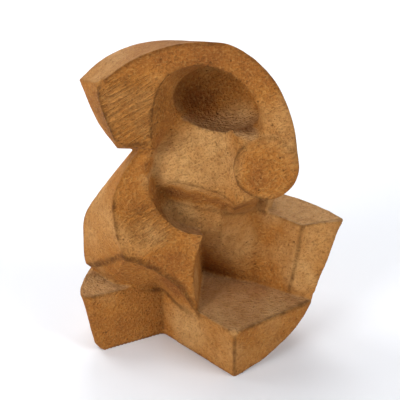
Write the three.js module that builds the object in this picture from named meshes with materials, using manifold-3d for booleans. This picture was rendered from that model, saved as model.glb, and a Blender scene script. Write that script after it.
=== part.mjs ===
// An abstract fired-clay sculpture, one solid piece: an arched head with a hollow and a round snout,
// over a seated body with a curved arm, an open lap and a block raised on the right.
// Millimetres, Z up, the front towards -Y.
import * as THREE from "three";
import { mergeVertices } from "three/addons/utils/BufferGeometryUtils.js";
import { ConvexGeometry } from "three/addons/geometries/ConvexGeometry.js";
import Module from "manifold-3d";

const wasm = await Module();
wasm.setup();

// Heights
const SEAT_TOP = 54;
const BLOCK_TOP = 131;
const FOOT_TOP = 69;

// Floor plan of the base: front corner, inner corner of the notch, toe of the left foot, right face's heading
const FRONT_CORNER = [34, -1];
const NOTCH_CORNER = [-39, 76];
const TOE_CORNER = [-106, 41.5];
const FRONT_TURN = 36.4;

// Left foot from the notch round its outer side, on the floor and at its top, where it leans out
const FOOT_LOW = [[-101, 44.1], [-105.5, 43.2], [-107.5, 47], [-107, 60], [-104, 80], [-95, 120], [-39, 120]];
const FOOT_HIGH = [[-109, 40], [-117, 41], [-121, 48], [-122, 60], [-120, 79], [-110, 125], [-39, 125]];

// Belly: a rocker profile on the right face (reach from the front corner, height), round about an axis
const ROCKER = [
  [14, 0], [40, 7.3], [66, 18.7], [86, 32.5], [99.5, 52], [112, 77.6], [126.4, 106.9], [134.5, 131],
];
const BELLY_AXIS = [-10, -15];
const BACK_RADIUS_FLOOR = 150;
const BACK_RADIUS_TOP = 188.5;
const BACK_TURN_FLOOR = 70;
const BACK_TURN_TOP = 34.5;
const BELLY_RUN_ON = [50, 20];
const BELLY_LEFT_TURN = 117;
const BELLY_LEFT = [-94, 96];
const BELLY_LEAN = 0.1;
const BELLY_INNER = [[-60, 90], [-60, -150]];
const BELLY_LEVELS = [0, 3, 7, 12, 19, 28, 40, 54, 72, 92, 112, BLOCK_TOP];

// Head: its rim on the front plane from the left corner over the top, the left end, and the same further back
const HEAD_FRONT = 35;
const HEAD_RIM = [
  [-92, 302], [-63, 324], [-36, 336], [-6, 342], [27, 340], [54, 321], [73, 296], [86, 264], [92, 227],
];
const HEAD_END = [[-77, 240], [-87, 267], [-92, 285], [-92, 302]];
const HEAD_BACK_RIM = [
  [-114, 75, 290], [-94, 80, 308], [-66, 86, 321], [-38, 92, 325], [-7, 97, 319],
  [30, 100, 304], [60, 106, 286], [80, 110, 258], [88, 112, 228], [88, 113, 190],
];
const HEAD_BACK_END = [[-80, 75, 219], [-96, 75, 243], [-107, 75, 269], [-114, 75, 290]];
const DOME_CENTRE = [0, 230];
const DOME_STEPS = [[0.25, 22], [0.5, 34], [0.75, 40]];

// Hollow of the head: the rim, the narrower far end of its wall, and the bowl behind
const RIM = [
  [-46, 246], [-45, 268], [-39, 295], [-27, 311], [0, 320], [27, 311],
  [46, 294], [57, 268], [56, 244], [46, 205], [0, 186], [-51, 188], [-50.5, 203], [-48, 216], [-46.5, 231],
];
const WALL_DEPTH = 45;
const WALL_END = [
  [-20, 247], [-11, 254], [-16, 266], [-12, 285], [-3, 296], [10, 301], [26, 300],
  [42, 288], [50, 268], [46, 250], [40, 205], [0, 186], [-45, 188], [-45, 203], [-42, 219], [-31, 234],
];
const BOWL_CENTRE = [21, 69, 275];
const BOWL_RADII = [46, 32, 33];

// Snout: the round end, and the body that runs back to the neck as sections across X:
// x, front of the bottom edge and of the top edge, their heights, and the depth and height of the root
const DISC_CENTRE = [62.5, 217.5];
const DISC_RADII = [31, 33.5];
const DISC_FRONT = 32;
const DISC_BACK = 124;
const DISC_BACK_CENTRE = [50, 217];
const DISC_BACK_RADII = [24, 28];
const SNOUT_BACK = 128;
const SNOUT_SECTIONS = [
  [-46, 70, 72, 178.7, 220, 84, 170],
  [-22, 57, 68, 191, 252, 84, 151],
  [0, 54, 66, 187, 253, 84, 143],
  [18, 50, 61, 182, 253, 84, 140],
  [27, 44, 52, 178, 252, 86, 142],
  [34, 36, 38, 176, 250, 92, 135],
  [57, 38, 38, 184, 248, 100, 136],
];

// Arm: front edge, outer edge behind it, and the front face, hollowed a little along its length
const ARM_EDGE = [
  [-48, 46, 237], [-57, 48, 226], [-67, 48, 214], [-82, 43, 184],
  [-84, 41, 165], [-80, 37, 138], [-62, 33, 92],
];
const ARM_BACK = [
  [-62, 84, 218], [-84, 86, 190], [-104, 88, 162], [-118, 90, 133],
  [-120, 90, 108], [-117, 90, 72], [-101, 92, 44],
];
const ARM_REAR = 135;
const ARM_DRAW = 0.3;
const ARM_RIGHT = 6;
const ARM_INNER = [[ARM_RIGHT, 20, 30], [ARM_RIGHT, 60, 30], [ARM_RIGHT, 20, 235], [ARM_RIGHT, 110, 235]];
const ARM_ROOM = 62;
const ARM_FACE_POINT = [4, 45, 143];
const ARM_FACE_NORMAL = [0.087, -1, 0.126];
const SCOOP_FROM = [-55, 215];
const SCOOP_TO = [-14, 55];
const SCOOP_RADIUS = 190;
const SCOOP_DEPTH = 5;

// Underside of the arm: its upper edge on the arm and its lower edge on the base, from the left to the tip
const UNDER_UPPER = [
  [-118, 92, 76], [-98, 60, 99], [-77, 33, 121], [-58, 38, 110], [-40, 40, 98], [-22, 39, 85], [-2, 33, 52],
];
const UNDER_LOWER = [
  [-110, 104, 61], [-98, 84, 62], [-82, 66, 67], [-61, 69, 61], [-40, 76, 56], [-21, 57, 47], [-2, 44, 44],
];
const UNDER_MARGIN = 0.12;
const UNDER_BEFORE = [-30, 30, -15];
const UNDER_AFTER = [12, 0, -12];

// Round cut that frees the snout from the arm, narrowing and falling as it goes in
const CUT_CENTRE = [1.5, 205];
const CUT_RADII = [53, 66];
const CUT_FRONT = 45;
const CUT_SPAN = [-40, 140];
const CUT_TAPER = 0.22;
const CUT_FALL = 0.6;

// Wall behind the lap by height, from the left to the raised block's inner edge, then along the block's end
const WALL_LEVELS = [
  [SEAT_TOP, [[-60, 140], [3, 118], [21, 108], [42, 98], [58, 93], [74, 83], [92, 71], [113, 58.5], [160, 34]]],
  [95, [[-60, 104], [2, 94], [21, 93], [41, 98], [58, 103], [78, 92], [97, 74], [131, 71], [175, 67]]],
  [BLOCK_TOP, [[-55, 81], [5, 77], [21, 78], [41, 95], [57, 113], [80, 97], [103, 77], [122, 83], [190, 95]]],
  [165, [[-52, 79], [6, 73], [21, 76], [41, 88], [57, 101], [80, 104], [103, 104], [122, 105], [190, 108]]],
  [200, [[-50, 80], [6, 76], [21, 78], [41, 90], [57, 103], [80, 108], [103, 109], [122, 110], [190, 112]]],
];
// Right-hand limit of the arm by height: the ridge and the foot of the facet behind it
const RIDGE_LEVELS = [
  [SEAT_TOP, [-2, 36], [3, 118]],
  [95, [-7, 38], [2, 113]],
  [143, [4, 45], [5, 105]],
  [200, [10, 45], [5, 98]],
];

// Torso and neck: a faceted mass that grows out of the belly, under the back of the head
const NAPE_START = 3;
const CORE = [
  [-84, 96, 110], [-62, 142, 110], [0, 160, 110], [58, 150, 110], [70, 118, 110],
  [57, 98, 110], [22, 66, 110], [22, 66, 205], [57, 98, 205],
  [-56, 85, 205], [-42, 140, 205], [0, 155, 205], [50, 146, 205], [74, 114, 205],
];

const ARC_STEPS = 28;
const FAR = 400;
const AHEAD = -60;
const BELOW = -20;
const rad = THREE.MathUtils.degToRad;
const mix = THREE.MathUtils.lerp;
const smooth = THREE.MathUtils.smoothstep;

function solid(geometry) {
  const bare = geometry.clone();
  bare.deleteAttribute("normal");
  bare.deleteAttribute("uv");
  const merged = mergeVertices(bare, 1e-4);
  return new wasm.Manifold(
    new wasm.Mesh({
      numProp: 3,
      vertProperties: merged.attributes.position.array,
      triVerts: new Uint32Array(merged.index.array),
    }),
  );
}

// A solid skinned over rings of points that match one to one, closed flat at both ends.
// across(p) turns a point to the two numbers in which the end rings are triangulated.
function loft(rings, across) {
  const count = rings[0].length;
  const points = rings.flat();
  const faces = [];
  for (let r = 0; r + 1 < rings.length; r++) {
    for (let i = 0; i < count; i++) {
      const a = r * count + i;
      const b = r * count + ((i + 1) % count);
      faces.push(a, b, b + count, a, b + count, a + count);
    }
  }
  const last = (rings.length - 1) * count;
  for (const [ring, base, near] of [
    [rings[0], 0, true],
    [rings[rings.length - 1], last, false],
  ]) {
    const flat = ring.map((p) => new THREE.Vector2(...across(p)));
    const turned = THREE.ShapeUtils.area(flat) > 0 === near;
    for (const [a, b, c] of THREE.ShapeUtils.triangulateShape(flat, [])) {
      faces.push(base + a, ...(turned ? [base + c, base + b] : [base + b, base + c]));
    }
  }
  const geometry = new THREE.BufferGeometry();
  geometry.setAttribute("position", new THREE.Float32BufferAttribute(points.flat(), 3));
  geometry.setIndex(faces);
  let made = solid(geometry);
  if (made.volume() < 0) {
    for (let i = 0; i < faces.length; i += 3) {
      [faces[i + 1], faces[i + 2]] = [faces[i + 2], faces[i + 1]];
    }
    geometry.setIndex(faces);
    made = solid(geometry);
  }
  return made;
}

const frontView = (p) => [p[0], p[2]];
const planView = (p) => [p[0], p[1]];
const sideView = (p) => [p[1], p[2]];
const vector = (p) => new THREE.Vector3(...p);
const atDepth = (y) => ([x, z]) => [x, y, z];
const atHeight = (z) => ([x, y]) => [x, y, z];

// Points along a smooth curve through a few given ones.
function curve(points, steps = ARC_STEPS, closed = false) {
  const through = new THREE.CatmullRomCurve3(points.map(vector), closed, "centripetal");
  const made = through.getPoints(steps).map((p) => p.toArray());
  return closed ? made.slice(0, -1) : made;
}

function wrapped(points) {
  return solid(new ConvexGeometry(points.map(vector)));
}

function ellipse([x, z], [rx, rz], y, steps = 48) {
  return Array.from({ length: steps }, (_, i) => {
    const angle = (2 * Math.PI * i) / steps;
    return [x + rx * Math.cos(angle), y, z + rz * Math.sin(angle)];
  });
}

// Keeps what lies on the side of a plane that the normal points to.
function keep(body, normal, through) {
  const n = vector(normal).normalize();
  return body.trimByPlane(n.toArray(), n.dot(vector(through)));
}

// How far the rocker profile reaches from the front corner at a height
function rockerReach(z) {
  const i = Math.max(ROCKER.findIndex(([, height]) => height >= z), 1);
  const [lower, upper] = [ROCKER[i - 1], ROCKER[i]];
  return mix(lower[0], upper[0], (z - lower[1]) / (upper[1] - lower[1]));
}

// A ring of the belly: from the rocker's edge on the right face it swells to the rounder back.
function bellyRing(z) {
  const reach = rockerReach(z);
  const east = FRONT_CORNER[0] + reach * Math.cos(rad(FRONT_TURN)) - BELLY_AXIS[0];
  const north = FRONT_CORNER[1] + reach * Math.sin(rad(FRONT_TURN)) - BELLY_AXIS[1];
  const edge = THREE.MathUtils.radToDeg(Math.atan2(north, east));
  const lift = (z / BLOCK_TOP) ** 0.6;
  const back = mix(BACK_RADIUS_FLOOR, BACK_RADIUS_TOP, lift);
  const full = mix(BACK_TURN_FLOOR, BACK_TURN_TOP, lift);
  const steps = Array.from({ length: ARC_STEPS + 1 }, (_, i) => {
    const along = (2 * i) / ARC_STEPS;
    return along < 1 ? mix(edge, full, along) : mix(full, BELLY_LEFT_TURN, along - 1);
  });
  const round = [...BELLY_RUN_ON.map((turn) => edge - turn), ...steps].map((heading) => {
    const radius = mix(Math.hypot(east, north), back, smooth(heading, edge, full));
    const [x, y] = [Math.cos(rad(heading)), Math.sin(rad(heading))].map((c) => c * radius);
    return [BELLY_AXIS[0] + x, BELLY_AXIS[1] + y, z];
  });
  return [...round, [BELLY_LEFT[0] - BELLY_LEAN * z, BELLY_LEFT[1], z], ...BELLY_INNER.map(atHeight(z))];
}

function belly() {
  const turn = rad(FRONT_TURN);
  const round = loft(BELLY_LEVELS.map(bellyRing), planView);
  return keep(round, [-Math.sin(turn), Math.cos(turn), 0], [...FRONT_CORNER, 0]).subtract(notch());
}

// The open notch between the left foot and the front corner, at every height
function notch() {
  const [nx, ny] = NOTCH_CORNER;
  const along = ([x, y]) => [nx + (x - nx) * 3, ny + (y - ny) * 3];
  const plan = [NOTCH_CORNER, along(FRONT_CORNER), [-FAR, -FAR], along(TOE_CORNER)];
  const besideSeat = [[ARM_RIGHT - 2, -FAR], [ARM_RIGHT - 2, ARM_ROOM], [-FAR, ARM_ROOM], [-FAR, -FAR]];
  const open = loft([-1, BLOCK_TOP + 1].map((z) => plan.map(atHeight(z))), planView);
  return open.add(loft([SEAT_TOP, BLOCK_TOP + 1].map((z) => besideSeat.map(atHeight(z))), planView));
}

// The left foot, which leans out as it rises
function foot() {
  const low = [NOTCH_CORNER, ...FOOT_LOW].map(atHeight(0));
  const high = [NOTCH_CORNER, ...FOOT_HIGH].map(atHeight(FOOT_TOP));
  return loft([low, high], planView);
}

// Rings that run smoothly through a few rings of points that match one to one.
function between(rings, steps) {
  const rails = rings[0].map((_, i) => curve(rings.map((ring) => ring[i]), steps));
  return rails[0].map((_, step) => rails.map((rail) => rail[step]));
}

// Everything in front of the torso's wall
function front() {
  const rings = WALL_LEVELS.map(([z, points]) => {
    const halved = points.flatMap((p, i) => (i ? [p.map((c, j) => mix(points[i - 1][j], c, 0.5)), p] : [p]));
    return [...halved, [points.at(-1)[0], -FAR], [points[0][0], -FAR]].map(atHeight(z));
  });
  const above = rings.at(-1).map(([x, y]) => [x, y, FAR]);
  return loft([...between(rings, 12), above], planView);
}

// Everything to the right of the arm's ridge, from the seat up
function lap() {
  const rings = RIDGE_LEVELS.map(([z, ridge, foot]) => {
    const ahead = ridge.map((c, i) => c + (c - foot[i]) * 2);
    const behind = foot.map((c, i) => c + (c - ridge[i]) * 0.5);
    return [ahead, ridge, foot, behind, [FAR, behind[1]], [FAR, ahead[1]]].map(atHeight(z));
  });
  const above = rings.at(-1).map(([x, y]) => [x, y, FAR]);
  return loft([...between(rings, 18), above], planView);
}

function roundCut() {
  const rings = CUT_SPAN.map((y) => {
    const inset = (y - CUT_FRONT) * CUT_TAPER;
    const centre = [CUT_CENTRE[0], CUT_CENTRE[1] - (y - CUT_FRONT) * CUT_FALL];
    return ellipse(centre, CUT_RADII.map((r) => r - inset), y);
  });
  return loft(rings, frontView);
}

function arm() {
  const edge = curve(ARM_EDGE);
  const back = curve(ARM_BACK);
  const ahead = edge.map((p, i) => p.map((c, j) => mix(c, back[i][j], -ARM_DRAW)));
  const rear = back.map(([x, , z]) => [mix(x, ARM_RIGHT, ARM_DRAW), ARM_REAR, mix(z, BLOCK_TOP, ARM_DRAW)]);
  const slab = wrapped([...ahead, ...edge, ...back, ...rear, ...ARM_INNER]);
  const inward = ARM_FACE_NORMAL.map((c) => -c);
  return keep(slab, inward, ARM_FACE_POINT).subtract(scoop()).subtract(underArm());
}

// The shallow trough along the arm's front face
function scoop() {
  const normal = vector(ARM_FACE_NORMAL).normalize();
  const onFace = ([x, z]) => {
    const [px, py, pz] = ARM_FACE_POINT;
    return new THREE.Vector3(x, py + (normal.x * (x - px) + normal.z * (z - pz)) / -normal.y, z);
  };
  const from = onFace(SCOOP_FROM);
  const to = onFace(SCOOP_TO);
  const round = new THREE.CylinderGeometry(SCOOP_RADIUS, SCOOP_RADIUS, 2 * from.distanceTo(to), 160);
  round.applyQuaternion(
    new THREE.Quaternion().setFromUnitVectors(new THREE.Vector3(0, 1, 0), to.clone().sub(from).normalize()),
  );
  const middle = from.lerp(to, 0.5).addScaledVector(normal, SCOOP_RADIUS - SCOOP_DEPTH);
  round.translate(...middle.toArray());
  return solid(round);
}

// The space under the arm, as a strip from the outer side to the tip
function underArm() {
  const lowers = curve(UNDER_LOWER, 36);
  const columns = curve(UNDER_UPPER, 36).map((upper, i) => {
    const lower = lowers[i];
    const near = upper.map((c, j) => mix(c, lower[j], -UNDER_MARGIN));
    const inner = lower.map((c, j) => mix(c, upper[j], -UNDER_MARGIN));
    return [near, inner, [inner[0], inner[1], BELOW], [near[0], AHEAD, BELOW], [near[0], AHEAD, near[2]]];
  });
  const first = columns[0].map((p) => p.map((c, i) => c + UNDER_BEFORE[i]));
  const last = columns.at(-1).map((p) => p.map((c, i) => c + UNDER_AFTER[i]));
  return loft([first, ...columns, last], sideView);
}

function head() {
  const front = [...HEAD_END, ...HEAD_RIM.slice(1)].map(atDepth(HEAD_FRONT));
  const ends = [front.slice(0, HEAD_END.length), HEAD_BACK_END].flatMap((points) => curve(points, 8));
  const rims = [front.slice(HEAD_END.length - 1), HEAD_BACK_RIM].flatMap((points) => curve(points, 40));
  return wrapped([...ends, ...rims, ...dome([...HEAD_BACK_END, ...HEAD_BACK_RIM])]);
}

// The domed back of the head: its rim drawn in towards the middle as it goes back
function dome(rim) {
  const [cx, cz] = DOME_CENTRE;
  return DOME_STEPS.flatMap(([inward, depth]) =>
    rim.map(([x, y, z]) => [mix(x, cx, inward), y + depth, mix(z, cz, inward)]),
  );
}

function torso() {
  const nape = HEAD_BACK_RIM.slice(NAPE_START);
  return wrapped([...CORE, ...nape, ...dome(nape)]);
}

function hollow() {
  const rim = (y) => curve(RIM.map(atDepth(y)), 48, true);
  const end = curve(WALL_END.map(atDepth(HEAD_FRONT + WALL_DEPTH)), 48, true);
  return loft([rim(HEAD_FRONT - WALL_DEPTH), rim(HEAD_FRONT), end], frontView);
}

function bowl() {
  const ball = new THREE.SphereGeometry(1, 36, 24);
  ball.scale(...BOWL_RADII);
  ball.translate(...BOWL_CENTRE);
  return solid(ball);
}

function snout() {
  const rings = SNOUT_SECTIONS.map(([x, lowFront, topFront, low, top, rootFront, root]) => [
    [x, lowFront, low],
    [x, topFront, top],
    [x, SNOUT_BACK, top],
    [x, SNOUT_BACK, root],
    [x, rootFront, root],
  ]);
  const face = ellipse(DISC_CENTRE, DISC_RADII, DISC_FRONT);
  const rear = ellipse(DISC_BACK_CENTRE, DISC_BACK_RADII, DISC_BACK);
  return loft(rings, sideView).add(loft([face, rear], frontView));
}

const cleared = front().intersect(lap().add(roundCut()));
const body = belly().add(torso()).add(arm()).subtract(cleared);
const whole = body.add(foot()).add(head()).subtract(hollow()).add(snout()).subtract(bowl());

function geometryOf(made) {
  const mesh = made.getMesh();
  const geometry = new THREE.BufferGeometry();
  geometry.setAttribute("position", new THREE.Float32BufferAttribute(mesh.vertProperties, 3));
  geometry.setIndex(new THREE.Uint32BufferAttribute(mesh.triVerts, 1));
  return geometry;
}

// The origin goes to the middle of the underside.
function centred(geometry) {
  geometry.computeBoundingBox();
  const { min, max } = geometry.boundingBox;
  return geometry.translate(-(min.x + max.x) / 2, -(min.y + max.y) / 2, -min.z);
}

const terracotta = new THREE.MeshStandardMaterial({ color: "#b07838", roughness: 0.85, metalness: 0 });
const sculpture = new THREE.Mesh(centred(geometryOf(whole)), terracotta);
sculpture.name = "sculpture";

const group = new THREE.Group();
group.add(sculpture);
export default group;
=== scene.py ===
"""An abstract sculpture in fired grogged clay: one block with rounded edges, on a pale floor."""
import math

import bmesh
import bpy
import numpy as np
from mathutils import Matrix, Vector


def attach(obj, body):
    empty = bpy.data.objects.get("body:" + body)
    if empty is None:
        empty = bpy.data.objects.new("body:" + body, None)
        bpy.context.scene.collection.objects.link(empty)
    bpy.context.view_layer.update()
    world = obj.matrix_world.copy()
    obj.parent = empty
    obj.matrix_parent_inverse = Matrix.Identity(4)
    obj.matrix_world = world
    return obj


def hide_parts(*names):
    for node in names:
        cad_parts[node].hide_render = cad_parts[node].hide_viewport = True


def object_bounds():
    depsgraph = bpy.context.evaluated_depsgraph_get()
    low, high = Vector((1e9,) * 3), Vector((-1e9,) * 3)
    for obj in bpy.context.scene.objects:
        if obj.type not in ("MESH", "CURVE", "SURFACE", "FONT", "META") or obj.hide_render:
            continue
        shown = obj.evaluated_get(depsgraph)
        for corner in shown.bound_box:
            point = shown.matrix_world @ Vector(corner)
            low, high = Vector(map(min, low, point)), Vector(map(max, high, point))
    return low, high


MM = 0.001

# Skin of the clay: how far apart its points lie, and how near the block's own points are one
SKIN_STEP = 1.87 * MM
MERGE_WITHIN = 1e-6

# Rubbing: how much of the way to its neighbours' mean a point goes in a round, and the rounds for
# every edge and for the soft places
RUB = 0.5
EDGE_ROUNDS = 3
SOFT_ROUNDS = 70

# Flat cuts: how often the skin is calmed, the rounds each time, how different two normals are
# across an edge that stays, and how much of the mean way a point goes in a round
CALM_TIMES = 2
CALM_ROUNDS = 8
CALM_TURN = 0.16
CALM_SHARE = 0.5

# The hand's unevenness: size and height of each set of lumps in millimetres, the first set's seed,
# how far under the cut it all lies, and from and to above the floor it sets in
UNEVEN = [(46, 0.7), (19, 0.32), (8, 0.14)]
UNEVEN_SEED = 11
UNEVEN_DEPTH = 0.3
UNEVEN_ABOVE = (0, 9)
# The lattice of a set of lumps: how many random heights it has, and what picks one for a corner
LATTICE_HEIGHTS = 4096
LATTICE_PICK = (73856093, 19349663, 83492791)

# The underside: its points lie below this height in millimetres, and their normals below this
UNDERSIDE_BELOW = 1.2
UNDERSIDE_NORMAL = -0.8

# Places where one surface runs softly into the next: centre and radius, in millimetres
SOFT_PLACES = [
    ((-42, -22, 240), 24),  # hollow's left wall into the snout
    ((34, -44, 249), 17),  # top of the disc into the ring
    ((46, 0, 143), 18),  # torso into the block's top
    ((46, 10, 118), 26),  # torso into the wall
    ((46, 12, 88), 26),
    ((-52, -24, 207), 20),  # snout into the arm, and on down beside it
    ((-52, -22, 182), 20),
    ((-46, -14, 160), 22),
    ((-40, -12, 142), 22),
    ((-28, -10, 134), 22),
    ((-119, -41, 1), 9),  # foot's lower front corner
    ((-88, -51, 240), 8),  # lower corner of the head's left end
    ((-104, -51, 302), 7),  # its upper corner
    ((22, -87, 54), 8),  # seat's front corner
]
# The back of the head is rubbed smooth all over, from and to behind the middle and above the floor
SOFT_BEHIND = (-15, 15)
SOFT_ABOVE = (150, 185)
# The lower edge is rubbed round: how much, and from and to above the floor
LOWER_EDGE_SHARE = 0.25
LOWER_EDGE = (1, 6)

# How far out a place and a line work in full, as shares of radius and half width, and how far out
# a line still shows
PLACE_CORE = 0.35
LINE_CORE = 0.3
LINE_REACH = 1.6

# Where on the way from 0, burnt, to 1, pale, the clay is ochre, how much further the faces that
# look up are, partly paler clay and partly painted light and sheen, and from and to which height of
# their normals
OCHRE_AT = 0.4
UPWARD_PALE_AND_SHEEN = 0.35
UPWARD_FACES = (0.3, 0.9)
# How much pale dust and painted sheen lie on the faces that look up, and from and to which height
# of their normals
DUST_AND_SHEEN_SHARE = 0.2
DUST_AND_SHEEN_FACES = (0.6, 0.95)

# Dark patina on any edge, and painted shade in any hollow: the rounds of rubbing that tell how far
# a point stands out or lies back, from and to how many millimetres it shows, and how dark it gets
EDGE_TELL = 12
EDGE_OUT = (0.12, 0.6)
EDGE_SHARE = 0.3
HOLLOW_TELL = 60
HOLLOW_BACK = (0.3, 1.6)
HOLLOW_SHADE_SHARE = 0.15

# Places where the colour goes further on the way from burnt to pale, or back: some where the
# patina is worn thin and pale or lies thick and dark, many as painted light on faces in shade and
# painted shade in creases, hollows and under overhangs. Centre, radius, and how much further it
# goes on the way from burnt to pale
PATINA_LIGHT_AND_SHADE_PLACES = [
    ((80, -51, 258), 45, 0.45),  # ring, right
    ((40, -51, 318), 34, -0.2),  # ring, top right
    ((-15, -51, 338), 48, -0.4),  # ring, top
    ((-60, -10, 330), 30, -0.2),  # arch's top, left
    ((-25, -38, 25), 42, 0.55),  # seat's left front
    ((10, -75, 25), 30, 0.2),  # seat's left front, near the corner
    ((62, -58, 25), 60, 0.1),  # seat's right front
    # painted highlight on the rounded corner
    ((22, -85, 56), 10, 0.4),  # tip of the seat's front corner
    ((-80, -25, 35), 40, -0.1),  # foot's front
    ((108, -12, 95), 55, 0.25),  # block's end
    # paler patina and painted light on the snout
    ((-12, -32, 215), 52, 0.45),  # snout
    # painted light on the snout's shaded left
    ((-42, -24, 205), 26, 0.4),  # snout, left
    ((0, -28, 247), 26, 0.3),  # hollow's lower lip
    ((-112, 0, 150), 60, 0.4),  # arm's outer side
    ((-75, -45, 138), 36, 0.25),  # arm's front, low
    # painted light on the torso in shade, here and beside the arm
    ((0, 5, 135), 62, 0.25),  # torso
    ((-36, -9, 142), 28, 0.5),  # torso beside the arm
    ((-75, -45, 180), 30, -0.1),  # arm's front, high
    ((-80, -51, 275), 40, 0.1),  # head's left end
    ((-45, -48, 110), 26, -0.2),  # arm's front, right
    # painted shade in the valley between snout and arm
    ((-60, -28, 207), 13, -0.5),  # valley between snout and arm
    ((-60, -25, 186), 13, -0.5),  # valley, lower
    ((-52, -36, 238), 16, -0.35),  # valley, top
    ((49, -54, 217), 36, -0.15),  # disc
    ((12, -42, 217), 13, 0.35),  # snout beside the disc
    # painted shade under the disc
    ((40, -14, 172), 16, -0.25),  # under the disc
    # painted shade on the band under the snout
    ((-32, -13, 172), 16, -0.5),  # band under the snout, left to right
    ((-12, -19, 168), 17, -0.5),
    ((8, -23, 164), 16, -0.5),
    ((26, -29, 163), 14, -0.4),
    ((-108, -20, 69), 30, 0.3),  # foot's top
    ((100, 30, 131), 60, 0.35),  # block's top
    # painted light where the head shades the block's top
    ((60, 20, 137), 26, 0.4),  # block's top, left
    # darker patina and painted shade on the arm's underside
    ((-60, -30, 88), 40, -0.15),  # arm's underside
    ((-25, -38, 68), 26, -0.25),  # arm's underside, right
    # painted shade in the hollow's left
    ((-13, 4, 257), 24, -0.5),  # hollow, left
    # painted light on the hollow's lower right
    ((26, -4, 246), 24, 0.3),  # hollow, right
    # painted light on the snout's shaded left
    ((-52, -24, 195), 26, 0.3),  # snout, far left
    # painted light on the wall in shade
    ((20, 14, 95), 38, 0.25),  # wall, left
    ((50, 12, 88), 38, 0.1),  # wall, right
    # painted shadow on the seat and wall at the wall's foot
    ((22, 0, 50), 18, -0.2),  # foot of the wall
    ((46, -9, 50), 18, -0.2),
    ((90, -20, 74), 26, 0.4),  # block's end, low
    ((-12, -30, 75), 26, 0.4),  # arm's thin right edge
    # darker patina and painted shade on the arm's underside
    ((-42, -38, 78), 22, -0.25),  # arm's underside, middle
    ((-100, -20, 85), 26, -0.2),  # arm's underside, far left
    ((-50, -30, 338), 42, -0.35),  # arch's top, front
    ((-68, -50, 205), 22, -0.25),  # arm's top
    ((22, -45, 215), 20, 0.25),  # snout beside the disc
]

# Lines along edges, dark patina on most and painted shade in creases and under overhangs: half
# width, strength, and points, in millimetres
PATINA_AND_SHADE_LINES = [
    # seat's front corner, and its top's right front edge
    (2.5, 0.9, [(22, -87, 52), (22, -87, 2)]),
    (2.7, 0.9, [(22, -87, 54), (38, -75, 54), (58, -60, 54), (79, -45, 54), (99, -29, 54)]),
    # block's inner edge, and its top's front edge
    (2.2, 0.75, [(91, -9, 130), (88, -12, 104), (85, -13, 81), (80, -15, 57)]),
    (2.1, 0.7, [(50, 23, 131), (68, 9, 131), (91, -9, 131), (110, -2, 131), (133, 5, 131)]),
    # head's left end, and the front edge of the arch's top
    (2.4, 0.9, [(-104, -50, 302), (-105, -50, 287), (-99, -51, 267), (-89, -51, 240),
                (-60, -51, 243)]),
    (1.7, 0.8, [(-104, -51, 302), (-84, -51, 317), (-66, -51, 328), (-30, -51, 340),
                (10, -51, 340)]),
    (1.5, 0.4, [(10, -51, 340), (33, -51, 329), (52, -51, 310), (69, -51, 278), (78, -51, 240)]),
    # foot's top
    (1.9, 0.8, [(-130, -44, 69), (-121, -46, 69), (-108, -40, 69), (-96, -34, 69)]),
    # arm's left edge, the edge over its underside, and painted shade in the crease under it
    (2.1, 0.9, [(-60, -41, 236), (-79, -39, 213), (-94, -43, 184), (-96, -45, 165),
                (-92, -49, 138)]),
    (4.0, 1.0, [(-128, 4, 76), (-111, -22, 94), (-89, -50, 119), (-70, -47, 110)]),
    (4.2, 1.0, [(-70, -47, 110), (-52, -45, 98), (-34, -46, 84), (-14, -49, 50)]),
    (3.2, 1.0, [(-110, -4, 67), (-94, -20, 67), (-73, -17, 61), (-52, -10, 56), (-33, -29, 47),
                (-14, -42, 44)]),
    # upper edge of the band under the snout, and painted shade in the crease along its lower edge
    (1.8, 0.7, [(-57, -17, 179), (-34, -29, 191), (-12, -32, 187), (6, -36, 182), (22, -50, 176)]),
    (1.8, 0.5, [(-51, -8, 168), (-37, -10, 158), (-12, -12, 152), (4, -10, 148), (13, -7, 143),
                (32, 8, 136)]),
    # disc's left rim and top
    (2.2, 0.9, [(36, -54, 247), (24, -53, 235), (20, -52, 217), (24, -53, 199), (38, -54, 187),
                (58, -54, 184)]),
    (1.8, 0.4, [(36, -54, 247), (53, -54, 251), (67, -54, 245), (78, -54, 231)]),
    # ring's inner edge round the hollow
    (2.0, 0.8, [(-57, -51, 248), (-57, -51, 267), (-50, -51, 295), (-39, -51, 311),
                (-12, -51, 320), (15, -51, 311)]),
    # painted shade in the inner corner between foot and seat
    (1.6, 0.5, [(-51, -10, 54), (-51, -10, 2)]),
]

# Where a comb was drawn over the clay: centre and radius, in millimetres. Elsewhere it is fainter.
COMBED_PLACES = [((-78, -51, 275), 60), ((-60, -35, 150), 40)]
COMBED_ELSEWHERE = 0.3

# Patterns of noise in the clay: width in millimetres, detail, the noise from and to which each
# sets in, and its strength before and after. The real grains are 0.5 to 1 mm; they are drawn at
# about 2 mm so that they show.
PATTERNS = {
    "patches": (35, 3, 0.3, 0.7, -0.2, 0.2),  # patina rubbed thicker and thinner
    "stains": (7, 3, 0.42, 0.7, 0, 0.4),  # small burnt spots
    "grog": (2.4, 2, 0.48, 0.7, 0, 0.42),  # pale grains
    "grit": (1.9, 2, 0.48, 0.3, 0, 0.32),  # dark grains
    "strokes": (2.4, 2, 0.6, 0.36, 0, 1),  # scratches of a comb
    "breaks": (7, 4, 0.3, 0.65, 0.4, 0.85),  # how whole the lines along edges are
}
# Comb strokes: how many times as long as wide, the degrees they rise to the right, and how much
# dark patina fills them
COMB_STRETCH = 11
COMB_RISE = 32
COMB_FILL = 0.3
# Single pits: millimetres apart, from and to which share of that they show, and how dark they are
PITS_APART = 11
PIT_EDGE = (0.1, 0.05)
PIT_SHARE = 0.6
# Gritty relief: width and depth in millimetres, and detail
RELIEF_WIDTH = 2.4
RELIEF_DEPTH = 2.4
RELIEF_DETAIL = 3

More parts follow.
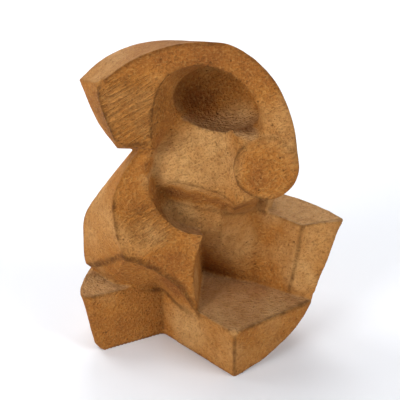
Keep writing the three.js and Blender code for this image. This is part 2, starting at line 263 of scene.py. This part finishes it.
# Colours of the clay, its patina and the floor. Pale clay also stands for painted light, burnt clay
# and dark patina also for painted shade, and dust also for painted sheen
DUST_AND_SHEEN = "#bda78c"
PALE_CLAY = "#c8965b"
OCHRE_CLAY = "#ab6c2c"
BURNT_CLAY = "#8a5020"
DARK_PATINA_AND_SHADE = "#54300e"
GROG = "#c69350"
WHITE_PAPER = "#f1f3f7"

# Camera of the photograph: where it stands and looks, in metres, and its lens and film width
CAMERA_AT = (-0.0118, -1.0216, 0.6989)
CAMERA_TO = (-0.0118, -0.0062, 0.159)
LENS = 103.5
FILM_WIDTH = 36

# Studio lights: name, heading from the front towards the right and height in degrees, and watts
LIGHTS = [
    ("window_left", -45, 20, 42),
    ("panel_right", 60, 33, 29),
    ("panel_behind", 180, 45, 30),
    ("panel_back_left", -120, 45, 26),
]
# Each panel's distance and width, and the height it faces, in metres
PANEL_DISTANCE = 2.4
PANEL_WIDTH = 1.3
PANEL_AIM = 0.16
# Strength of the white room round it all
ROOM = 0.02
# Floor: its flat radius, the radius of the bend round it, the wall's height, in metres, and the
# points round it and the rings up the bend
FLOOR_RADIUS = 3.0
FLOOR_BEND = 1.5
WALL_HEIGHT = 4.0
FLOOR_SIDES = 96
BEND_RINGS = 13


def linear(hex_colour):
    """Linear red, green, blue and 1 from an sRGB hex colour.

    A channel is divided by 12.92 near black, and else shifted by 0.055 and taken to the power 2.4.
    """
    channels = [int(hex_colour[i : i + 2], 16) / 255 for i in (1, 3, 5)]
    return [c / 12.92 if c <= 0.04045 else ((c + 0.055) / 1.055) ** 2.4 for c in channels] + [1.0]


def neighbour_mean(values, edges):
    """For each point, the mean of the values at the points that share an edge with it."""
    count = len(values)
    first, second = edges.T
    shares = np.bincount(edges.ravel(), minlength=count)
    columns = [
        np.bincount(first, column[second], count) + np.bincount(second, column[first], count)
        for column in values.T
    ]
    return np.stack(columns, axis=1) / shares[:, None]


def settle(values, edges, share, rounds):
    """In each round every value moves its share of the way to the mean of its neighbours."""
    for _ in range(rounds):
        values = values + share * (neighbour_mean(values, edges) - values)
    return values


def normals_of(points, quads):
    """At each point, the sum of the crossed diagonals of the quads round it, made one long."""
    across = points[quads[:, 2]] - points[quads[:, 0]]
    crossed = np.cross(across, points[quads[:, 3]] - points[quads[:, 1]])
    columns = [np.bincount(quads.ravel(), np.repeat(c, 4), len(points)) for c in crossed.T]
    total = np.stack(columns, axis=1)
    return total / np.linalg.norm(total, axis=1, keepdims=True)


def step_up(values, low, high):
    """From 0 at low up to 1 at high by three squares less two cubes of the part of the way."""
    part = np.clip((values - low) / (high - low), 0, 1)
    return part * part * (3 - 2 * part)


def lumps(points, size, seed):
    """Smooth random heights from -1 to 1.

    They are held at the corners of a cubic lattice and blended between the eight nearest by three
    squares less two cubes of the part of the way.
    """
    cell = np.floor(points / size).astype(np.int64)
    part = points / size - cell
    part = part * part * (3 - 2 * part)
    heights = np.random.default_rng(seed).uniform(-1, 1, LATTICE_HEIGHTS)
    total = np.zeros(len(points))
    for corner in np.ndindex(2, 2, 2):
        weight = np.where(corner, part, 1 - part).prod(axis=1)
        total += weight * heights[(cell + corner) @ np.array(LATTICE_PICK) % LATTICE_HEIGHTS]
    return total


def calm(points, edges, quads):
    """Flattens the small facets of a skin and keeps its strong edges.

    Each normal leans in rounds towards its neighbours, each weighted by e to the minus squared
    difference over a squared turn, so across a strong edge it hardly leans. Then each point moves
    in rounds a share of the mean way, along its neighbours' normals, to the planes through its
    neighbours.
    """
    here, there = np.concatenate([edges, edges[:, ::-1]]).T
    count = len(points)
    shares = np.bincount(here, minlength=count)[:, None]
    for _ in range(CALM_TIMES):
        normals = normals_of(points, quads)
        for _ in range(CALM_ROUNDS):
            weight = np.exp(-((normals[here] - normals[there]) ** 2).sum(axis=1) / CALM_TURN**2)
            lean = [np.bincount(here, weight * column, count) for column in normals[there].T]
            normals = normals + np.stack(lean, axis=1)
            normals = normals / np.linalg.norm(normals, axis=1, keepdims=True)
        for _ in range(CALM_ROUNDS):
            planes = normals[there]
            lift = ((points[there] - points[here]) * planes).sum(axis=1)
            move = [np.bincount(here, lift * column, count) for column in planes.T]
            points = points + CALM_SHARE * np.stack(move, axis=1) / shares
    return points


def near(points, places):
    """How near each point is to the nearest of some places.

    It is 1 up to a place's core, and falls smoothly to 0 at its radius.
    """
    closeness = np.zeros(len(points))
    for centre, radius in places:
        distance = np.linalg.norm(points - np.array(centre) * MM, axis=1) / MM
        closeness = np.maximum(closeness, 1 - step_up(distance, PLACE_CORE * radius, radius))
    return closeness


def on_lines(points, lines):
    """How strongly lines mark each point.

    It is a line's strength up to its core, and falls smoothly to 0 at its reach. The distance is to
    the nearest point of each stretch of the line.
    """
    mark = np.zeros(len(points))
    for half_width, strength, corners in lines:
        corners = np.array(corners) * MM
        for start, end in zip(corners[:-1], corners[1:]):
            run = end - start
            along = np.clip((points - start) @ run / (run @ run), 0, 1)
            distance = np.linalg.norm(points - start - along[:, None] * run, axis=1) / MM
            faded = step_up(distance, LINE_CORE * half_width, LINE_REACH * half_width)
            mark = np.maximum(mark, strength * (1 - faded))
    return mark


def even_skin(cad_node):
    """A new object whose closed skin of even quads, one step wide, follows a CAD node's faces."""
    shape = bmesh.new()
    shape.from_mesh(cad_node.data)
    bmesh.ops.remove_doubles(shape, verts=shape.verts, dist=MERGE_WITHIN)
    rough = bpy.data.meshes.new("rough_block")
    shape.to_mesh(rough)
    shape.free()
    block = bpy.data.objects.new("clay_body", rough)
    bpy.context.scene.collection.objects.link(block)
    skin = block.modifiers.new("even skin", "REMESH")
    skin.mode = "VOXEL"
    skin.voxel_size = SKIN_STEP
    graph = bpy.context.evaluated_depsgraph_get()
    block.data = bpy.data.meshes.new_from_object(block.evaluated_get(graph))
    block.modifiers.clear()
    block.data.name = "clay_body"
    return block


def mesh_arrays(mesh):
    """The points, edges and quads of a mesh as arrays."""
    points = np.empty(len(mesh.vertices) * 3)
    edges = np.empty(len(mesh.edges) * 2, np.int32)
    corners = np.empty(len(mesh.loops), np.int32)
    mesh.vertices.foreach_get("co", points)
    mesh.edges.foreach_get("vertices", edges)
    mesh.loops.foreach_get("vertex_index", corners)
    return points.reshape(-1, 3), edges.reshape(-1, 2), corners.reshape(-1, 4)


def rub(points, edges, quads):
    """Rubs a skin's edges round, calms its faces, and rubs it again where it is soft.

    Softness is the greatest of three: how near a soft place is, how far a point is on its way
    behind the middle times how far up the back, and a share that fades up from the lower edge. It
    is the share of the rubbing that a point takes part in.
    """
    points = settle(points, edges, RUB, EDGE_ROUNDS)
    points = calm(points, edges, quads)
    back = step_up(points[:, 1] / MM, *SOFT_BEHIND) * step_up(points[:, 2] / MM, *SOFT_ABOVE)
    lowest = LOWER_EDGE_SHARE * (1 - step_up(points[:, 2] / MM, *LOWER_EDGE))
    softness = np.maximum.reduce([near(points, SOFT_PLACES), back, lowest])
    return settle(points, edges, RUB * softness[:, None], SOFT_ROUNDS)


def store_patina_light_and_shade(mesh, points, edges, normals):
    """Keeps on a mesh, for each point, the numbers that the material reads.

    Edge patina and shade is the greater of two: a share of how far the point stands out from the
    skin after a few rounds of rubbing, which is dark patina, and the lines drawn there, which are
    dark patina on edges and painted shade in some creases. Hollow shade, painted shade in the
    hollows, is how far it lies back from the skin after many rounds. Paleness starts at ochre, and
    adds a share on faces that look up, partly paler clay and partly painted light and sheen, and
    the amount of each place, times how near it is: worn or thick patina, painted light on faces in
    shade and painted shade in creases and under overhangs. Dust and painted sheen lie on the faces
    that look up.
    """
    out, back = [
        ((points - settle(points, edges, RUB, rounds)) * normals).sum(axis=1) / MM
        for rounds in (EDGE_TELL, HOLLOW_TELL)
    ]
    worn = EDGE_SHARE * step_up(out, *EDGE_OUT)
    pale_patina_and_light = OCHRE_AT + UPWARD_PALE_AND_SHEEN * step_up(normals[:, 2], *UPWARD_FACES)
    for centre, radius, amount in PATINA_LIGHT_AND_SHADE_PLACES:
        pale_patina_and_light += amount * near(points, [(centre, radius)])
    patina = {
        "edge_patina_and_shade": np.maximum(worn, on_lines(points, PATINA_AND_SHADE_LINES)),
        "hollow_shade": step_up(-back, *HOLLOW_BACK),
        "patina_and_painted_light": np.clip(pale_patina_and_light, 0, 1),
        "combed": np.maximum(COMBED_ELSEWHERE, near(points, COMBED_PLACES)),
        "dust_and_sheen": DUST_AND_SHEEN_SHARE * step_up(normals[:, 2], *DUST_AND_SHEEN_FACES),
    }
    for name, values in patina.items():
        kept = mesh.attributes.new(name, "FLOAT", "POINT")
        kept.data.foreach_set("value", values.astype(np.float32))


def uneven(points, normals):
    """The points moved along their normals by lumps of a few sizes, less near the floor."""
    swell = sum(
        height * MM * lumps(points, size * MM, UNEVEN_SEED + turn)
        for turn, (size, height) in enumerate(UNEVEN)
    )
    swell = (swell - UNEVEN_DEPTH * MM) * step_up(points[:, 2] / MM, *UNEVEN_ABOVE)
    return points + normals * swell[:, None]


def shape_clay(block, low, high):
    """Shapes the block's skin by hand: rubbed, patinated, uneven and flat underneath.

    No point leaves the box between its lowest and highest corners.
    """
    points, edges, quads = mesh_arrays(block.data)
    points = rub(points, edges, quads)
    normals = normals_of(points, quads)
    store_patina_light_and_shade(block.data, points, edges, normals)
    underside = (points[:, 2] < UNDERSIDE_BELOW * MM) & (normals[:, 2] < UNDERSIDE_NORMAL)
    points = uneven(points, normals)
    points[underside, 2] = low[2]
    points = np.clip(points, low, high)
    block.data.vertices.foreach_set("co", points.astype(np.float32).ravel())
    block.data.shade_smooth()
    block.data.update()


def node(tree, kind, links=(), **settings):
    """Adds one shader node with its settings.

    Each input is set to a number or colour, or linked from a socket or from the first output that
    another node has in use.
    """
    made = tree.nodes.new(kind)
    for name, value in settings.items():
        setattr(made, name, value)
    for socket, value in dict(links).items():
        if isinstance(value, bpy.types.Node):
            value = next(output for output in value.outputs if output.enabled)
        if isinstance(value, bpy.types.NodeSocket):
            tree.links.new(value, made.inputs[socket])
        else:
            made.inputs[socket].default_value = value
    return made


def patinated_terracotta():
    """Fired clay with grog, scraped by hand and rubbed with an ochre patina.

    The eye gets a matte, gritty orange brown, burnt where the patina lies thick, pale where dust
    and handling thinned it, and dark along edges. Painted shade darkens its hollows, creases and
    undersides, painted light makes faces in shade paler, and painted sheen the faces that look up.
    """
    material = bpy.data.materials.new("patinated_terracotta")
    material.use_nodes = True
    tree = material.node_tree
    tree.nodes.clear()
    place = node(tree, "ShaderNodeTexCoord").outputs["Object"]
    edge, hollow, pale_patina_and_light, combed, dust_and_sheen = [
        node(tree, "ShaderNodeAttribute", attribute_name=name).outputs["Fac"]
        for name in ("edge_patina_and_shade", "hollow_shade", "patina_and_painted_light", "combed", "dust_and_sheen")
    ]

    along_comb = node(tree, "ShaderNodeMapping", {
        "Vector": place,
        "Rotation": (0, math.radians(-COMB_RISE), 0),
        "Scale": (COMB_STRETCH, 1, 1),
    }, vector_type="TEXTURE")
    pattern = {}
    for name, (width, detail, low, high, before, after) in PATTERNS.items():
        noise = node(tree, "ShaderNodeTexNoise", {
            "Vector": along_comb if name == "strokes" else place,
            "Scale": 1 / (width * MM),
            "Detail": detail,
        })
        pattern[name] = node(tree, "ShaderNodeMapRange", {
            "Value": noise, "From Min": low, "From Max": high, "To Min": before, "To Max": after,
        })
    pits = node(tree, "ShaderNodeTexVoronoi", {"Vector": place, "Scale": 1 / (PITS_APART * MM)})
    pits = node(tree, "ShaderNodeMapRange", {
        "Value": pits, "From Min": PIT_EDGE[0], "From Max": PIT_EDGE[1], "To Max": PIT_SHARE,
    })

    # how pale the clay is, from patina and from painted light and shade, in patches, and how far
    # that goes over burnt and over ochre
    pale_patina_and_light = node(tree, "ShaderNodeMath", {
        0: pale_patina_and_light, 1: pattern["patches"],
    }, operation="ADD", use_clamp=True)
    over_burnt = node(tree, "ShaderNodeMapRange", {
        "Value": pale_patina_and_light, "From Min": 0, "From Max": OCHRE_AT,
    })
    over_ochre = node(tree, "ShaderNodeMapRange", {
        "Value": pale_patina_and_light, "From Min": OCHRE_AT, "From Max": 1,
    })

    # dark patina in the comb's grooves, painted shade in hollows, and broken edge patina and shade
    grooves, edge = [
        node(tree, "ShaderNodeMath", {0: pattern[name], 1: share}, operation="MULTIPLY")
        for name, share in (("strokes", combed), ("breaks", edge))
    ]
    filled, hollow = [
        node(tree, "ShaderNodeMath", {0: dark, 1: share}, operation="MULTIPLY")
        for dark, share in ((grooves, COMB_FILL), (hollow, HOLLOW_SHADE_SHARE))
    ]

    # each colour lies over those before it, by its share
    colour = linear(BURNT_CLAY)
    for share, over in (
        (over_burnt, OCHRE_CLAY),
        (over_ochre, PALE_CLAY),
        (dust_and_sheen, DUST_AND_SHEEN),
        (pattern["stains"], BURNT_CLAY),
        (pattern["grog"], GROG),
        (pattern["grit"], DARK_PATINA_AND_SHADE),
        (pits, DARK_PATINA_AND_SHADE),
        (filled, DARK_PATINA_AND_SHADE),
        (hollow, DARK_PATINA_AND_SHADE),
        (edge, DARK_PATINA_AND_SHADE),
    ):
        colour = node(tree, "ShaderNodeMix", {
            0: share, 6: colour, 7: linear(over),
        }, data_type="RGBA")

    # a gritty relief, with grit, pits and grooves cut out of it
    relief = node(tree, "ShaderNodeTexNoise", {
        "Vector": place, "Scale": 1 / (RELIEF_WIDTH * MM), "Detail": RELIEF_DETAIL,
    })
    for cut in (pattern["grit"], pits, grooves):
        relief = node(tree, "ShaderNodeMath", {0: relief, 1: cut}, operation="SUBTRACT")
    bump = node(tree, "ShaderNodeBump", {
        "Height": relief, "Strength": 1.0, "Distance": RELIEF_DEPTH * MM,
    })
    shader = node(tree, "ShaderNodeBsdfPrincipled", {
        "Base Color": colour, "Roughness": 0.85, "Specular IOR Level": 0.15, "Normal": bump,
    })
    node(tree, "ShaderNodeOutputMaterial", {"Surface": shader})
    return material


def camera():
    """The photograph's camera: 28 degrees down on the front, aimed at the sculpture's middle."""
    data = bpy.data.cameras.new("photo_camera")
    data.lens = LENS
    data.sensor_width = FILM_WIDTH
    made = bpy.data.objects.new("photo_camera", data)
    bpy.context.scene.collection.objects.link(made)
    made.location = CAMERA_AT
    ahead = Vector(CAMERA_TO) - Vector(CAMERA_AT)
    made.rotation_euler = ahead.to_track_quat("-Z", "Y").to_euler()
    bpy.context.scene.camera = made


def light(name, heading, height, watts):
    """A square soft panel that faces the sculpture's middle from a heading and a height."""
    data = bpy.data.lights.new(name, "AREA")
    data.energy = watts
    data.size = PANEL_WIDTH
    made = bpy.data.objects.new(name, data)
    bpy.context.scene.collection.objects.link(made)
    turn, rise = math.radians(heading), math.radians(height)
    away = Vector((
        math.sin(turn) * math.cos(rise), -math.cos(turn) * math.cos(rise), math.sin(rise),
    ))
    made.location = Vector((0, 0, PANEL_AIM)) + PANEL_DISTANCE * away
    made.rotation_euler = (-away).to_track_quat("-Z", "Y").to_euler()


def white_paper():
    """Matte paper, which gives the eye a pale ground with soft shadows and hardly any gloss."""
    material = bpy.data.materials.new("white_paper_floor")
    material.use_nodes = True
    shader = material.node_tree.nodes["Principled BSDF"]
    shader.inputs["Base Color"].default_value = linear(WHITE_PAPER)
    shader.inputs["Roughness"].default_value = 0.9
    return material


def paper_floor():
    """A pale floor that curves up all round into a wall.

    The floor is a circle. Round it a quarter circle rises to the foot of an upright wall, and each
    ring of points is joined to the next by quads.
    """
    turn = np.linspace(0, 2 * np.pi, FLOOR_SIDES, endpoint=False)
    rise = np.linspace(0, np.pi / 2, BEND_RINGS)
    reach = np.append(FLOOR_RADIUS + FLOOR_BEND * np.sin(rise), FLOOR_RADIUS + FLOOR_BEND)
    height = np.append(FLOOR_BEND * (1 - np.cos(rise)), WALL_HEIGHT)
    flat = reach[:, None, None] * np.stack([np.cos(turn), np.sin(turn)], axis=1)
    up = np.repeat(height, FLOOR_SIDES).reshape(-1, FLOOR_SIDES, 1)
    points = np.concatenate([flat, up], axis=2).reshape(-1, 3)
    number = np.arange(len(points)).reshape(-1, FLOOR_SIDES)
    after = np.roll(number, -1, axis=1)
    quads = np.stack([number[:-1], number[1:], after[1:], after[:-1]], axis=2).reshape(-1, 4)
    mesh = bpy.data.meshes.new("floor")
    mesh.from_pydata(points, [], [number[0].tolist()] + quads.tolist())
    mesh.shade_smooth()
    mesh.materials.append(white_paper())
    floor = bpy.data.objects.new("floor", mesh)
    bpy.context.scene.collection.objects.link(floor)


def studio():
    """The floor, the soft panels and a faint white room round them."""
    paper_floor()
    for row in LIGHTS:
        light(*row)
    world = bpy.data.worlds.new("white_room")
    bpy.context.scene.world = world
    world.use_nodes = True
    background = world.node_tree.nodes["Background"]
    background.inputs["Color"].default_value = (1, 1, 1, 1)
    background.inputs["Strength"].default_value = ROOM
    bpy.context.scene.view_settings.view_transform = "Standard"


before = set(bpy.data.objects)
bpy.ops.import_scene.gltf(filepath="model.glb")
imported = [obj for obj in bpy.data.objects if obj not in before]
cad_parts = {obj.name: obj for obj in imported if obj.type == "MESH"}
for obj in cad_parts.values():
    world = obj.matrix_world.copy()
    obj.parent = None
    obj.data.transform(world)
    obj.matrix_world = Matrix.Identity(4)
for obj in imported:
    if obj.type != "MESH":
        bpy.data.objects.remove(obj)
cad_box = [list(corner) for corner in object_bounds()]
clay = even_skin(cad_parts["sculpture"])
shape_clay(clay, *np.array(cad_box))
clay.data.materials.clear()
clay.data.materials.append(patinated_terracotta())
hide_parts("sculpture")
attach(clay, "root")
camera()
studio()
